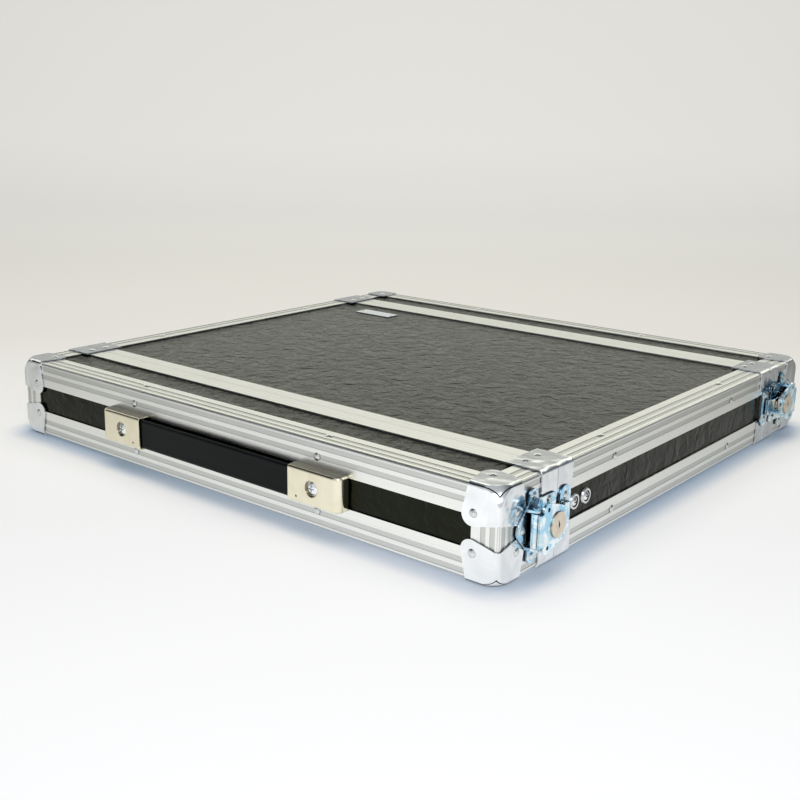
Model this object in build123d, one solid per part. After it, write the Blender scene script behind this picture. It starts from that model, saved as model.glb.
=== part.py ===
from build123d import *
import os
from math import sqrt

# Case sizes, in millimetres, over the aluminium edge angles
case_width = 530.0
case_depth = 508.0
case_height = 67.6
lid_depth = 67.5
seam_gap = 0.3

# Laminated plywood panels
panel_thickness = 9.0

# Ribbed aluminium edge angles
leaf_thickness = 1.5
angle_leg = 22.0
angle_radius = 2.5
groove_width = 4.1
groove_depth = 0.3
groove_first = 5.05
groove_pitch = 7.4

# Closing rims: a tongue on the body enters a groove in each lid
lid_rim_width = 17.0
body_rim_width = 13.0
body_rim_wall = 1.5
lid_rim_wall = 5.5
rim_lip = 1.0
rim_lap = 7.0
tongue_thickness = 2.5
tongue_length = 4.0
tongue_inset = 5.0
tongue_clearance = 0.3

# Pressed steel corners and braces
plate_thickness = 1.2
plate_inner_radius = 2.0
brace_width = 20.0
brace_leg = 29.0
lid_brace_side_leg = 22.0
body_brace_side_leg = 20.7
brace_rivet_from_seam = 7.75
brace_rivet_inset = 20.6
corner_edge = 24.3
corner_lobe_place = 21.2
corner_lobe_radius = 8.0
corner_rivet_place = 19.8
corner_ball_place = 14.0
corner_ball_clearance = 0.05
crease_width = 0.6
crease_depth = 0.7
crease_drop = 0.4
crease_bend_start = 11.6
crease_bend_radius = 14.0

# Rivets
rivet_head_radius = 3.1
rivet_head_height = 1.1
rivet_shank_radius = 1.6
rivet_grip = 7.5
rivet_inset = 13.0
rivet_clearance = 0.1
side_rivet_spacing = 208.0
lip_rivet_spacing = 210.0

# Rack rails, one unit high, with the three holes of the 19 inch pattern
rail_recess = 18.5
rail_depth = 30.0
rail_face_width = 29.0
rail_thickness = 2.0
rail_end_clearance = 0.6
rack_hole_from_wall = 21.94
rack_hole_pitch = 15.875
rack_hole_radius = 3.0
rail_screw_from_seam = 27.5
rail_screw_pitch = 16.0
rail_screw_radius = 2.4
rail_screw_head_radius = 4.0
rail_screw_head_height = 1.9
rail_screw_recess_width = 0.8
cup_washer_radius = 6.3
cup_washer_height = 1.5

# Bare plate on the top panel
plate_length = 48.0
plate_height = 18.0
plate_corner_radius = 1.5
plate_sheet = 0.8
plate_from_side = 88.0
plate_from_rear_seam = 43.5
plate_rivet_radius = 1.5
plate_rivet_height = 0.6
plate_rivet_inset = 3.2

# Foam lining inside each lid
foam_thickness = 6.0
foam_clearance = 0.4

# Strap handle on the front lid
cap_span = 272.0
cap_length = 50.0
cap_tall = 27.4
cap_proud = 11.0
cap_sheet = 1.2
cap_end_radius = 6.5
cap_edge_radius = 2.2
handle_screw_from_end = 26.5
handle_screw_radius = 2.5
handle_screw_head_radius = 5.0
handle_screw_head_height = 1.4
handle_screw_recess_width = 0.9
screw_recess_radius = 6.2
screw_recess_depth = 1.6
screw_boss_wall = 1.0
vent_hole_radius = 0.8
vent_hole_from_end = 41.5
vent_hole_drop = 8.6
strap_tall = 24.4
strap_thickness = 4.3
strap_back_gap = 5.0
strap_edge_radius = 1.9
strap_end_length = 34.0
strap_clearance = 0.3
strap_hole_play = 1.2
nut_flange_radius = 8.0
nut_flange_thickness = 1.2
nut_barrel_radius = 3.8
nut_barrel_length = 6.0

# Latch, measured from the seam towards the lid's face and out from the side
latch_sheet = 1.5
base_start = 3.5
base_straight_end = 38.0
base_half_height = 17.5
base_corner_radius = 3.0
base_nose_place = 42.0
base_nose_radius = 8.0
base_ear_place = 31.5
base_ear_height = 21.5
base_ear_radius = 5.0
base_ear_root_radius = 8.0
base_inner_rivet_place = 12.5
base_inner_rivet_height = 14.0
base_outer_rivet_place = 43.5
window_start = 30.5
window_end = 39.8
window_half_height = 12.0
window_corner_radius = 1.5
pivot_place = 36.0
pivot_height = 8.0
knuckle_radius = 4.0
knuckle_half_length = 12.0
knuckle_overlap = 0.5
pin_radius = 2.0
pin_head_radius = 2.9
pin_head_height = 0.9
cheek_thickness = 2.0
cheek_half_foot = 4.5
cheek_wall = 3.2
cheek_gap = 0.4
lever_thickness = 2.0
lever_tail = 39.4
lever_tail_half_height = 11.5
lobe_place = 29.5
lobe_height = 12.5
lobe_radius = 5.7
lobe_hole_radius = 1.5
lobe_hole_height = 13.5
nose_radius = 13.5
lock_place = 17.5
running_clearance = 0.05
fixed_clearance = 0.1
lock_barrel_radius = 8.0
lock_flange_radius = 9.0
lock_flange_height = 1.0
lock_barrel_depth = 3.8
plug_radius = 3.0
plug_proud = 0.15
keyhole_length = 4.4
keyhole_width = 1.1
keyhole_round = 1.1
keyhole_depth = 4.0
cam_thickness = 1.0
cam_length = 10.0
cam_width = 6.0
claw_pivot_place = 27.0
claw_pivot_height = 5.6
claw_barrel_radius = 2.5
claw_pin_radius = 1.25
claw_half_width = 5.2
claw_hook_half_width = 7.0
claw_thickness = 1.8
claw_ear_thickness = 2.0
claw_ear_gap = 0.4
claw_ear_reach = 3.0
claw_ear_root = 0.5
strike_near = 1.8
strike_width = 14.0
strike_rivet_height = 11.2
lip_height = 1.3
lip_top = 1.2
lip_from_edge = 1.6
lip_half_height = 8.0
hook_clearance = 0.3
hook_length = 2.6
hook_root = 3.0
hook_tip_chamfer = 0.6

# How far cutters run past a surface, and the closeness at which two places are one
overcut = 1.0
tolerance = 0.01

# Places worked out from the sizes above
half_width = case_width / 2
half_depth = case_depth / 2
half_height = case_height / 2
wall_depth = leaf_thickness + panel_thickness
inner_half_width = half_width - wall_depth
inner_half_height = half_height - wall_depth
panel_half_width = half_width - leaf_thickness
panel_half_height = half_height - leaf_thickness
seam = -half_depth + lid_depth
lid_end = seam - seam_gap / 2
body_end = seam + seam_gap / 2
shell_proud = plate_thickness + rivet_head_height
plate_outer_radius = plate_inner_radius + plate_thickness
corner_ball_reach = (corner_ball_place - plate_inner_radius) * sqrt(2) + corner_ball_clearance
corner_ball_radius = corner_ball_reach + plate_outer_radius
rack_hole_x = inner_half_width - rack_hole_from_wall
handle_screw_x = cap_span / 2 - handle_screw_from_end
vent_hole_x = cap_span / 2 - vent_hole_from_end
rivet_hole_radius = rivet_shank_radius + rivet_clearance
base_top = plate_thickness + latch_sheet
lever_inner_face = pivot_height + knuckle_radius - knuckle_overlap
lever_face = lever_inner_face + lever_thickness
lock_face = lever_face + lock_flange_height
lock_back = lever_inner_face - lock_barrel_depth
grip_half_length = cap_span / 2 - cap_length - strap_clearance
place = Pos(0, (cap_proud - shell_proud) / 2, half_height + plate_thickness)


def block(x0, x1, y0, y1, z0, z1):
    """A box between two opposite corners."""
    centre = Pos((x0 + x1) / 2, (y0 + y1) / 2, (z0 + z1) / 2)
    return centre * Box(x1 - x0, y1 - y0, z1 - z0)


def along_y(outline, y0, y1):
    """Extrude an outline, drawn in X and Z, from y0 to y1."""
    face = Plane(origin=(0, y1, 0), x_dir=(1, 0, 0), z_dir=(0, -1, 0))
    return extrude(face * outline, amount=y1 - y0)


def ring(y0, y1, outer_inset, inner_inset, radius=0.0):
    """A rectangular loop round the case between two depths below its skin."""
    width = case_width - 2 * outer_inset
    height = case_height - 2 * outer_inset
    outer = RectangleRounded(width, height, radius) if radius else Rectangle(width, height)
    inner = Rectangle(case_width - 2 * inner_inset, case_height - 2 * inner_inset)
    return along_y(outer - inner, y0, y1)


def left_right(solids):
    """The solids and their mirror images across the middle of the case."""
    return solids + [mirror(solid, about=Plane.YZ) for solid in solids]


def top_bottom(solids):
    """The solids and their mirror images across mid height."""
    return solids + [mirror(solid, about=Plane.XY) for solid in solids]


def turned(solids):
    """The solids turned half a turn about the upright centre line."""
    return [Rot(0, 0, 180) * solid for solid in solids]


def near(first, second):
    """Whether two bounding boxes meet."""
    a = first.bounding_box()
    b = second.bounding_box()
    apart_x = a.min.X > b.max.X or b.min.X > a.max.X
    apart_y = a.min.Y > b.max.Y or b.min.Y > a.max.Y
    apart_z = a.min.Z > b.max.Z or b.min.Z > a.max.Z
    return not (apart_x or apart_y or apart_z)


def drill(solids, holes):
    """Cut from each solid the holes that reach it, and return plain solids."""
    drilled = []
    for solid in solids:
        hits = [hole for hole in holes if near(solid, hole)]
        cut = solid - hits if hits else solid
        drilled += cut.solids()
    return drilled


# Rivets stand on a spot that looks outwards
def spot(x, y, z, outward):
    """A place on the skin whose local Z is the outward direction."""
    return Plane(origin=(x, y, z), z_dir=outward).location


def dome(radius, height):
    """A shallow round head that stands on the plane Z = 0."""
    bulge = (radius ** 2 + height ** 2) / (2 * height)
    ball = Pos(0, 0, height - bulge) * Sphere(bulge)
    return ball & Pos(0, 0, height) * Cylinder(2 * radius, 2 * height)


def peg(radius, top, bottom):
    """A round bar along Z between two heights."""
    return Pos(0, 0, (top + bottom) / 2) * Cylinder(radius, top - bottom)


def cross_recess(width, span, depth):
    """The cutter for a cross recess whose mouth is the plane Z = 0."""
    bar = Box(span, width, 2 * depth)
    return bar + Rot(0, 0, 90) * bar


def domed_rivet(where):
    head = dome(rivet_head_radius, rivet_head_height)
    return where * (head + peg(rivet_shank_radius, 0, -rivet_grip))


def flush_rivet(where):
    head = peg(rivet_head_radius, 0, -plate_thickness)
    return where * (head + peg(rivet_shank_radius, 0, -rivet_grip))


def rivet_hole(where, flush=False):
    hole = peg(rivet_hole_radius, rivet_clearance, -rivet_grip - rivet_clearance)
    if flush:
        hole += Cylinder(rivet_head_radius + rivet_clearance, 2 * plate_thickness)
    return where * hole


def fastened(spots, underside):
    """Rivets and their holes: domed heads on the spots, flush ones on the underside."""
    rivets = [domed_rivet(where) for where in spots] + [flush_rivet(where) for where in underside]
    holes = [rivet_hole(where) for where in spots] + [rivet_hole(where, True) for where in underside]
    return rivets, holes


# Edge angles
def angle_section():
    """The L section, with its outer corner at the origin and its legs inward."""
    solid = Rectangle(angle_leg, angle_leg, align=(Align.MIN, Align.MIN))
    hollow = Rectangle(angle_leg, angle_leg, align=(Align.MIN, Align.MIN))
    section = solid - Pos(leaf_thickness, leaf_thickness) * hollow
    corner = section.vertices().sort_by(lambda v: v.X + v.Y)[0]
    section = fillet(corner, angle_radius)
    for at in (groove_first, groove_first + groove_pitch):
        section -= Pos(at, 0) * Rectangle(groove_width, 2 * groove_depth)
        section -= Pos(0, at) * Rectangle(2 * groove_depth, groove_width)
    return section


def angle_bar(origin, inward, along, length):
    """An angle from a corner point, running along a direction."""
    end = Plane(origin=origin, x_dir=inward, z_dir=along)
    return extrude(end * angle_section(), amount=length)


def body_edge_angles(holes):
    reach = -(body_end + body_rim_width)
    bar = angle_bar((half_width, reach, half_height), (-1, 0, 0), (0, -1, 0), 2 * reach)
    return drill(top_bottom(left_right([bar])), holes)


def lid_edge_angles(holes):
    long_end = half_width - angle_radius
    long_bar = angle_bar((long_end, -half_depth, half_height), (0, 1, 0), (-1, 0, 0), 2 * long_end)
    upright_end = half_height - angle_leg
    upright = angle_bar((half_width, -half_depth, upright_end), (-1, 0, 0), (0, 0, -1), 2 * upright_end)
    side_end = lid_end - lid_rim_width
    side_length = side_end + half_depth - angle_leg
    side_bar = angle_bar((half_width, side_end, half_height), (-1, 0, 0), (0, -1, 0), side_length)
    bars = top_bottom([long_bar]) + left_right([upright]) + top_bottom(left_right([side_bar]))
    return drill(bars, holes)


# Panels
def body_panels(holes):
    reach = -(body_end + body_rim_wall)
    top = block(-panel_half_width, panel_half_width, -reach, reach, inner_half_height, panel_half_height)
    side = block(inner_half_width, panel_half_width, -reach, reach, -inner_half_height, inner_half_height)
    return {
        "body_top_panel": drill([top], holes),
        "body_bottom_panel": drill([mirror(top, about=Plane.XY)], holes),
        "body_right_panel": drill([side], holes),
        "body_left_panel": drill([mirror(side, about=Plane.YZ)], holes),
    }


def lid_face_panel(holes):
    front = -half_depth + leaf_thickness
    face = block(-panel_half_width, panel_half_width, front, front + panel_thickness,
                 -panel_half_height, panel_half_height)
    return drill([face], holes)


def lid_wall_panels(holes):
    front = -half_depth + wall_depth
    rear = lid_end - lid_rim_wall
    top = block(-panel_half_width, panel_half_width, front, rear, inner_half_height, panel_half_height)
    side = block(inner_half_width, panel_half_width, front, rear, -inner_half_height, inner_half_height)
    return drill(top_bottom([top]) + left_right([side]), holes)


def foam_lining(nut_spots):
    front = -half_depth + wall_depth
    half_x = inner_half_width - foam_clearance
    half_z = inner_half_height - foam_clearance
    foam = block(-half_x, half_x, front, front + foam_thickness, -half_z, half_z)
    for x in nut_spots:
        well = Cylinder(nut_flange_radius + foam_clearance, 4 * foam_thickness, rotation=(90, 0, 0))
        foam -= Pos(x, front, 0) * well
    return foam.solids()


# Closing rims, each in four lengths that meet under the braces
def cut_in_bars(loop, y0, y1):
    limit = half_height - wall_depth - rim_lip
    slab = block(-case_width, case_width, y0, y1, limit, case_height)
    between = block(0, case_width, y0, y1, -limit, limit)
    cutters = top_bottom([slab]) + left_right([between])
    return [solid for cutter in cutters for solid in (loop & cutter).solids()]


def body_rim(holes):
    leaf_end = body_end + body_rim_width
    loop = ring(body_end, leaf_end, 0, leaf_thickness, angle_radius)
    loop += ring(body_end, body_end + body_rim_wall, 0, wall_depth + rim_lip, angle_radius)
    loop += ring(body_end, body_end + rim_lap, wall_depth, wall_depth + rim_lip)
    loop += ring(seam - tongue_length, body_end + body_rim_wall / 2,
                 tongue_inset, tongue_inset + tongue_thickness)
    bars = cut_in_bars(loop, seam - lid_depth, seam + lid_depth)
    return drill(bars, holes)


def lid_rim(holes):
    leaf_start = lid_end - lid_rim_width
    wall_start = lid_end - lid_rim_wall
    loop = ring(leaf_start, lid_end, 0, leaf_thickness, angle_radius)
    loop += ring(wall_start, lid_end, 0, wall_depth + rim_lip, angle_radius)
    loop += ring(wall_start - rim_lap, lid_end, wall_depth, wall_depth + rim_lip)
    loop -= ring(seam - tongue_length - tongue_clearance, seam,
                 tongue_inset - tongue_clearance, tongue_inset + tongue_thickness + tongue_clearance)
    bars = cut_in_bars(loop, seam - lid_depth, seam + lid_depth)
    return drill(bars, holes)


# Steel braces wrap the rims' ends on both sides of each seam
def brace_set(y0, y1, side_leg, holes):
    width = case_width + 2 * plate_thickness
    outer = RectangleRounded(width, case_height + 2 * plate_thickness, plate_outer_radius)
    inner = RectangleRounded(case_width, case_height, plate_inner_radius)
    loop = along_y(outer - inner, y0, y1)
    keep = block(half_width - brace_leg, case_width, y0, y1, half_height - side_leg, case_height)
    brace = (loop & keep).solids()
    return drill(top_bottom(left_right(brace)), holes)


# Three-leaf steel corners
def kite():
    """One leaf's outline: two edges along the case and a round lobe inward."""
    low = -plate_thickness
    path = Polyline((corner_edge, low), (low, low), (low, corner_edge))
    lobe = Pos(corner_lobe_place, corner_lobe_place) * Circle(corner_lobe_radius)
    return make_hull(path.edges() + lobe.edges())


def edges_from(solid, at):
    """The edges that leave the point whose three coordinates are alike."""
    tip = Vector(at, at, at)
    found = ShapeList()
    for edge in solid.edges():
        reach = min((vertex.center() - tip).length for vertex in edge.vertices())
        if reach < tolerance:
            found.append(edge)
    return found


def corner_form(inset):
    """The corner's outside, or a form inside it: round edges and a ball at the vertex."""
    low = inset - plate_thickness
    reach = corner_lobe_place + 2 * corner_lobe_radius
    form = block(low, reach, low, reach, low, reach)
    form = fillet(edges_from(form, low), plate_outer_radius - inset)
    return form - ball_void(low - overcut, corner_ball_radius - inset)


def ball_void(low, radius):
    """What lies between the corner's vertex and the ball inside it."""
    vertex = block(low, corner_ball_place, low, corner_ball_place, low, corner_ball_place)
    return vertex - Pos(corner_ball_place, corner_ball_place, corner_ball_place) * Sphere(radius)


def creases(depth):
    """The cutters for the folds beside the top leaf, which bend down to the upright edge."""
    far = 2 * (corner_lobe_place + corner_lobe_radius)
    centre = Pos(crease_bend_start, crease_drop + crease_bend_radius)
    bend = Circle(crease_bend_radius + crease_width / 2) - Circle(crease_bend_radius - crease_width / 2)
    bend = centre * (bend & Rectangle(far, far, align=(Align.MAX, Align.MAX)))
    straight = Rectangle(far, crease_width, align=(Align.MIN, Align.CENTER))
    line = bend + Pos(crease_bend_start, crease_drop) * straight
    band = extrude(Plane(origin=(0, depth, 0), x_dir=(1, 0, 0), z_dir=(0, -1, 0)) * line, amount=2 * far)
    half = Polyline((-far, -far), (far, -far), (far, far), close=True)
    front = band & extrude(Pos(0, 0, -far) * make_face(half), amount=2 * far)
    return [front, mirror(front, about=Plane(origin=(0, 0, 0), z_dir=(1, -1, 0)))]


def corner_piece():
    """A corner in its own frame, with the case's corner at the origin and the case at +X +Y +Z."""
    low = -plate_thickness
    outer = corner_form(0)
    shell = outer - corner_form(plate_thickness)
    depth = plate_thickness + corner_ball_place
    flat = extrude(Pos(0, 0, low) * kite(), amount=depth)
    front = Plane(origin=(0, low, 0), x_dir=(0, 0, 1), z_dir=(0, 1, 0))
    side = Plane(origin=(low, 0, 0), x_dir=(0, 1, 0), z_dir=(1, 0, 0))
    leaves = flat + extrude(front * kite(), amount=depth) + extrude(side * kite(), amount=depth)
    skin = outer - corner_form(crease_depth)
    return (shell & leaves) - [crease & skin for crease in creases(corner_ball_place)]


def at_lid_corners(form):
    """A form in the corner's frame, copied to the four corners of the front lid."""
    right_top = Pos(half_width, -half_depth, half_height) * Rot(0, 180, 0) * form
    return top_bottom(left_right(right_top.solids()))


def corner_set(holes):
    return drill(at_lid_corners(corner_piece()), holes)


def corner_voids():
    """What the lid's pieces leave free under the balls of the corners."""
    return at_lid_corners(ball_void(-overcut, corner_ball_radius - plate_thickness))


# Rivet places on the body and on the front lid
def body_rivet_spots():
    spots = []
    for sign in (-1, 1):
        skin = half_width + plate_thickness
        for side in (-1, 1):
            along = side * side_rivet_spacing / 2
            x = sign * (half_width - rivet_inset)
            z = half_height - rivet_inset
            spots += [spot(x, along, half_height, (0, 0, 1)), spot(x, along, -half_height, (0, 0, -1))]
            spots += [spot(sign * half_width, along, up * z, (sign, 0, 0)) for up in (-1, 1)]
            y = side * (seam + brace_rivet_from_seam)
            brace_x = sign * (half_width - brace_rivet_inset)
            spots.append(spot(brace_x, y, half_height + plate_thickness, (0, 0, 1)))
            strike = side * (seam + strike_near + strike_width / 2)
            for up in (-1, 1):
                top = skin + latch_sheet
                spots.append(spot(sign * top, strike, up * strike_rivet_height, (sign, 0, 0)))
    return spots


def body_underside_spots():
    low = -half_height - plate_thickness
    x = half_width - brace_rivet_inset
    y = seam + brace_rivet_from_seam
    return [spot(a * x, b * y, low, (0, 0, -1)) for a in (-1, 1) for b in (-1, 1)]


def corner_rivet_spots():
    x = half_width - corner_rivet_place
    y = -half_depth + corner_rivet_place
    z = half_height - corner_rivet_place
    spots = []
    for sign in (-1, 1):
        spots.append(spot(sign * x, y, half_height + plate_thickness, (0, 0, 1)))
        for up in (-1, 1):
            spots.append(spot(sign * x, -half_depth - plate_thickness, up * z, (0, -1, 0)))
            spots.append(spot(sign * (half_width + plate_thickness), y, up * z, (sign, 0, 0)))
    return spots


def lid_rivet_spots():
    spots = corner_rivet_spots()
    for sign in (-1, 1):
        x = sign * lip_rivet_spacing / 2
        y = -half_depth + rivet_inset
        z = half_height - rivet_inset
        for up in (-1, 1):
            spots.append(spot(x, y, up * half_height, (0, 0, up)))
            spots.append(spot(x, -half_depth, up * z, (0, -1, 0)))
        y = seam - brace_rivet_from_seam
        brace_x = sign * (half_width - brace_rivet_inset)
        spots.append(spot(brace_x, y, half_height + plate_thickness, (0, 0, 1)))
        top = half_width + base_top
        for up in (-1, 1):
            spots.append(spot(sign * top, seam - base_ear_place, up * base_ear_height, (sign, 0, 0)))
            spots.append(spot(sign * top, seam - base_inner_rivet_place, up * base_inner_rivet_height,
                              (sign, 0, 0)))
        spots.append(spot(sign * top, seam - base_outer_rivet_place, 0, (sign, 0, 0)))
    return spots


def lid_underside_spots():
    low = -half_height - plate_thickness
    brace_x = half_width - brace_rivet_inset
    brace_y = seam - brace_rivet_from_seam
    corner_x = half_width - corner_rivet_place
    corner_y = -half_depth + corner_rivet_place
    spots = [spot(sign * brace_x, brace_y, low, (0, 0, -1)) for sign in (-1, 1)]
    return spots + [spot(sign * corner_x, corner_y, low, (0, 0, -1)) for sign in (-1, 1)]


# Rack rails and their fixings
def rail_screw_rows():
    first = seam + rail_screw_from_seam
    return [first, first + rail_screw_pitch]


def side_hole(x0, x1, y, radius):
    hole = Cylinder(radius, x1 - x0, rotation=(0, 90, 0))
    return Pos((x0 + x1) / 2, y, 0) * hole


def rack_rail():
    tall = inner_half_height - rail_end_clearance
    face_y = seam + rail_recess
    inner = inner_half_width - rail_face_width
    face = block(inner, inner_half_width, face_y, face_y + rail_thickness, -tall, tall)
    flange = inner_half_width - rail_thickness
    rail = face + block(flange, inner_half_width, face_y, face_y + rail_depth, -tall, tall)
    for step in (-1, 0, 1):
        hole = Cylinder(rack_hole_radius, 4 * rail_thickness, rotation=(90, 0, 0))
        rail -= Pos(rack_hole_x, face_y, step * rack_hole_pitch) * hole
    for y in rail_screw_rows():
        rail -= side_hole(inner - rail_thickness, half_width, y, rail_screw_radius + fixed_clearance)
    return rail.solids()


def rail_screw_set():
    seat = cup_washer_height / 3
    tip = seat + rail_screw_head_height
    head = Pos(0, 0, seat) * dome(rail_screw_head_radius, rail_screw_head_height)
    shank = peg(rail_screw_radius, seat, -panel_thickness - rail_thickness)
    recess = cross_recess(rail_screw_recess_width, rail_screw_head_radius, rail_screw_head_height / 2)
    screw = head + shank - Pos(0, 0, tip) * recess
    return [spot(panel_half_width, y, 0, (1, 0, 0)) * screw for y in rail_screw_rows()]


def cup_washer_set():
    seat = cup_washer_height / 3
    middle = Pos(0, 0, cup_washer_height / 2)
    cup = middle * Cone(cup_washer_radius, cup_washer_radius - cup_washer_height / 2, cup_washer_height)
    cup -= peg(rail_screw_radius + fixed_clearance, cup_washer_height, -overcut)
    cup -= peg(rail_screw_head_radius + fixed_clearance, 2 * cup_washer_height, seat)
    return [spot(panel_half_width, y, 0, (1, 0, 0)) * cup for y in rail_screw_rows()]


def rail_holes():
    reach = fixed_clearance + rail_screw_radius
    start = inner_half_width - overcut
    return left_right([side_hole(start, half_width, y, reach) for y in rail_screw_rows()])


# Bare plate and its two small rivets
def name_plate():
    x = -half_width + plate_from_side
    y = -seam - plate_from_rear_seam
    sheet = RectangleRounded(plate_length, plate_height, plate_corner_radius)
    return [Pos(x, y, panel_half_height) * extrude(sheet, amount=plate_sheet)]


def name_plate_rivets():
    x = -half_width + plate_from_side
    y = -seam - plate_from_rear_seam
    place_x = plate_length / 2 - plate_rivet_inset
    head = dome(plate_rivet_radius, plate_rivet_height)
    return [Pos(x + sign * place_x, y, panel_half_height + plate_sheet) * head for sign in (-1, 1)]


# Strap handle, in a frame on the front face: X along the case, Y up, Z out
handle_frame = Plane(origin=(0, -half_depth, 0), x_dir=(1, 0, 0), z_dir=(0, -1, 0)).location


def cap_form(inset, edge_radius, end_radius, start, back):
    """The cap's outer or inner form: rounded at its free end and along its long edges."""
    end = cap_span / 2 - inset
    front = cap_proud - inset
    plan = Polyline((start, back), (end, back), (end, front), (start, front), close=True)
    plan = make_face(plan)
    tip = plan.vertices().sort_by(lambda v: v.X + v.Y)[-1]
    plan = fillet(tip, end_radius)
    tall = cap_tall / 2 - inset
    form = along_y(plan, -tall, tall)
    long_edges = []
    for edge in form.edges():
        middle = edge.center()
        level = abs(abs(middle.Y) - tall) < tolerance
        if level and middle.Z > back + tolerance and middle.X > start + tolerance:
            long_edges.append(edge)
    return fillet(long_edges, edge_radius)


def handle_cap():
    start = cap_span / 2 - cap_length
    outer = cap_form(0, cap_edge_radius, cap_end_radius, start, 0)
    inner = cap_form(cap_sheet, cap_edge_radius - cap_sheet, cap_end_radius - cap_sheet,
                     start - overcut, -cap_sheet)
    boss_depth = screw_recess_depth + screw_boss_wall
    boss = Pos(handle_screw_x, 0, cap_proud - boss_depth / 2 - cap_sheet / 2)
    boss = boss * Cylinder(screw_recess_radius + screw_boss_wall, boss_depth - cap_sheet)
    cap = outer - inner + boss
    seat = Pos(handle_screw_x, 0, cap_proud)
    cap -= seat * Cylinder(screw_recess_radius, 2 * screw_recess_depth)
    cap -= seat * Cylinder(handle_screw_radius + fixed_clearance, 4 * boss_depth)
    vent = Cylinder(vent_hole_radius, 4 * cap_sheet)
    cap -= Pos(vent_hole_x, -vent_hole_drop, cap_proud) * vent
    return (handle_frame * cap).solids()


def handle_screw():
    seat = cap_proud - screw_recess_depth
    tip = seat + handle_screw_head_height
    head = Pos(0, 0, seat) * dome(handle_screw_head_radius, handle_screw_head_height)
    recess = cross_recess(handle_screw_recess_width, handle_screw_head_radius, handle_screw_head_height / 2)
    screw = head + peg(handle_screw_radius, seat, -wall_depth) - Pos(0, 0, tip) * recess
    return (handle_frame * Pos(handle_screw_x, 0, 0) * screw).solids()


def handle_nut():
    nut = peg(nut_flange_radius, -wall_depth, -wall_depth - nut_flange_thickness)
    nut += peg(nut_barrel_radius, nut_barrel_length - wall_depth, -wall_depth)
    nut -= peg(handle_screw_radius + fixed_clearance, 0, -2 * wall_depth)
    return (handle_frame * Pos(handle_screw_x, 0, 0) * nut).solids()


def handle_holes():
    through = Pos(handle_screw_x, 0, 0) * Cylinder(handle_screw_radius + fixed_clearance, 6 * wall_depth)
    wide = Cylinder(nut_barrel_radius + fixed_clearance, 2 * nut_barrel_length)
    wide = Pos(handle_screw_x, 0, -wall_depth) * wide
    return left_right([handle_frame * (through + wide)])


def strap_bar(x0, x1):
    """A length of strap with round long edges."""
    section = RectangleRounded(strap_thickness, strap_tall, strap_edge_radius)
    face = Plane(origin=(x0, 0, strap_back_gap + strap_thickness / 2), x_dir=(0, 0, 1), z_dir=(1, 0, 0))
    return extrude(face * section, amount=x1 - x0)


def strap_grip():
    return (handle_frame * strap_bar(-grip_half_length, grip_half_length)).solids()


def strap_ends():
    start = cap_span / 2 - cap_length
    end = strap_bar(start, start + strap_end_length)
    hole_width = 2 * (screw_recess_radius + screw_boss_wall + strap_clearance)
    hole = SlotCenterToCenter(strap_hole_play, hole_width)
    middle = Pos(handle_screw_x, 0, strap_back_gap - overcut)
    end -= extrude(middle * hole, amount=strap_thickness + 2 * overcut)
    return left_right((handle_frame * end).solids())


# Latch, in a frame on the side at the front seam: X towards the lid's face, Y down, Z out
latch_frame = Plane(origin=(half_width, seam, 0), x_dir=(0, -1, 0), z_dir=(1, 0, 0)).location


def disc(x, y, radius):
    return (Pos(x, y) * Circle(radius)).edges()


def cross_pin(x, z, radius, half_length):
    """A round bar along the latch's height."""
    return Pos(x, 0, z) * Cylinder(radius, 2 * half_length, rotation=(90, 0, 0))


def latch_base():
    rise = base_half_height - base_corner_radius
    outline_edges = ShapeList()
    for sign in (-1, 1):
        outline_edges += disc(base_start + base_corner_radius, sign * rise, base_corner_radius)
        outline_edges += disc(base_straight_end - base_corner_radius, sign * rise, base_corner_radius)
    outline_edges += disc(base_nose_place, 0, base_nose_radius)
    outline = make_hull(outline_edges)
    for sign in (-1, 1):
        ear = disc(base_ear_place, sign * base_ear_height, base_ear_radius)
        root = disc(base_ear_place, sign * base_ear_radius, base_ear_root_radius)
        outline += make_hull(ear + root)
    middle = (window_start + window_end) / 2
    window_length = window_end - window_start
    window = RectangleRounded(window_length, 2 * window_half_height, window_corner_radius)
    outline -= Pos(middle, 0) * window
    base = extrude(Pos(0, 0, plate_thickness) * outline, amount=latch_sheet)
    foot = base_top - latch_sheet / 2
    inner = knuckle_half_length + cheek_gap
    for sign in (-1, 1):
        low = Polyline((pivot_place - cheek_half_foot, foot), (pivot_place + cheek_half_foot, foot))
        profile = make_hull(low.edges() + disc(pivot_place, pivot_height, cheek_wall))
        start = inner if sign > 0 else -inner - cheek_thickness
        base += along_y(profile, start, start + cheek_thickness)
    reach = inner + 2 * cheek_thickness
    base -= cross_pin(pivot_place, pivot_height, pin_radius + running_clearance, reach)
    return (latch_frame * base).solids()


def latch_pin():
    inner = knuckle_half_length + cheek_gap + cheek_thickness
    pin = cross_pin(pivot_place, pivot_height, pin_radius, inner + pin_head_height)
    for sign in (-1, 1):
        head = Cylinder(pin_head_radius, pin_head_height, rotation=(90, 0, 0))
        pin += Pos(pivot_place, sign * (inner + pin_head_height / 2), pivot_height) * head
    return (latch_frame * pin).solids()


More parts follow.
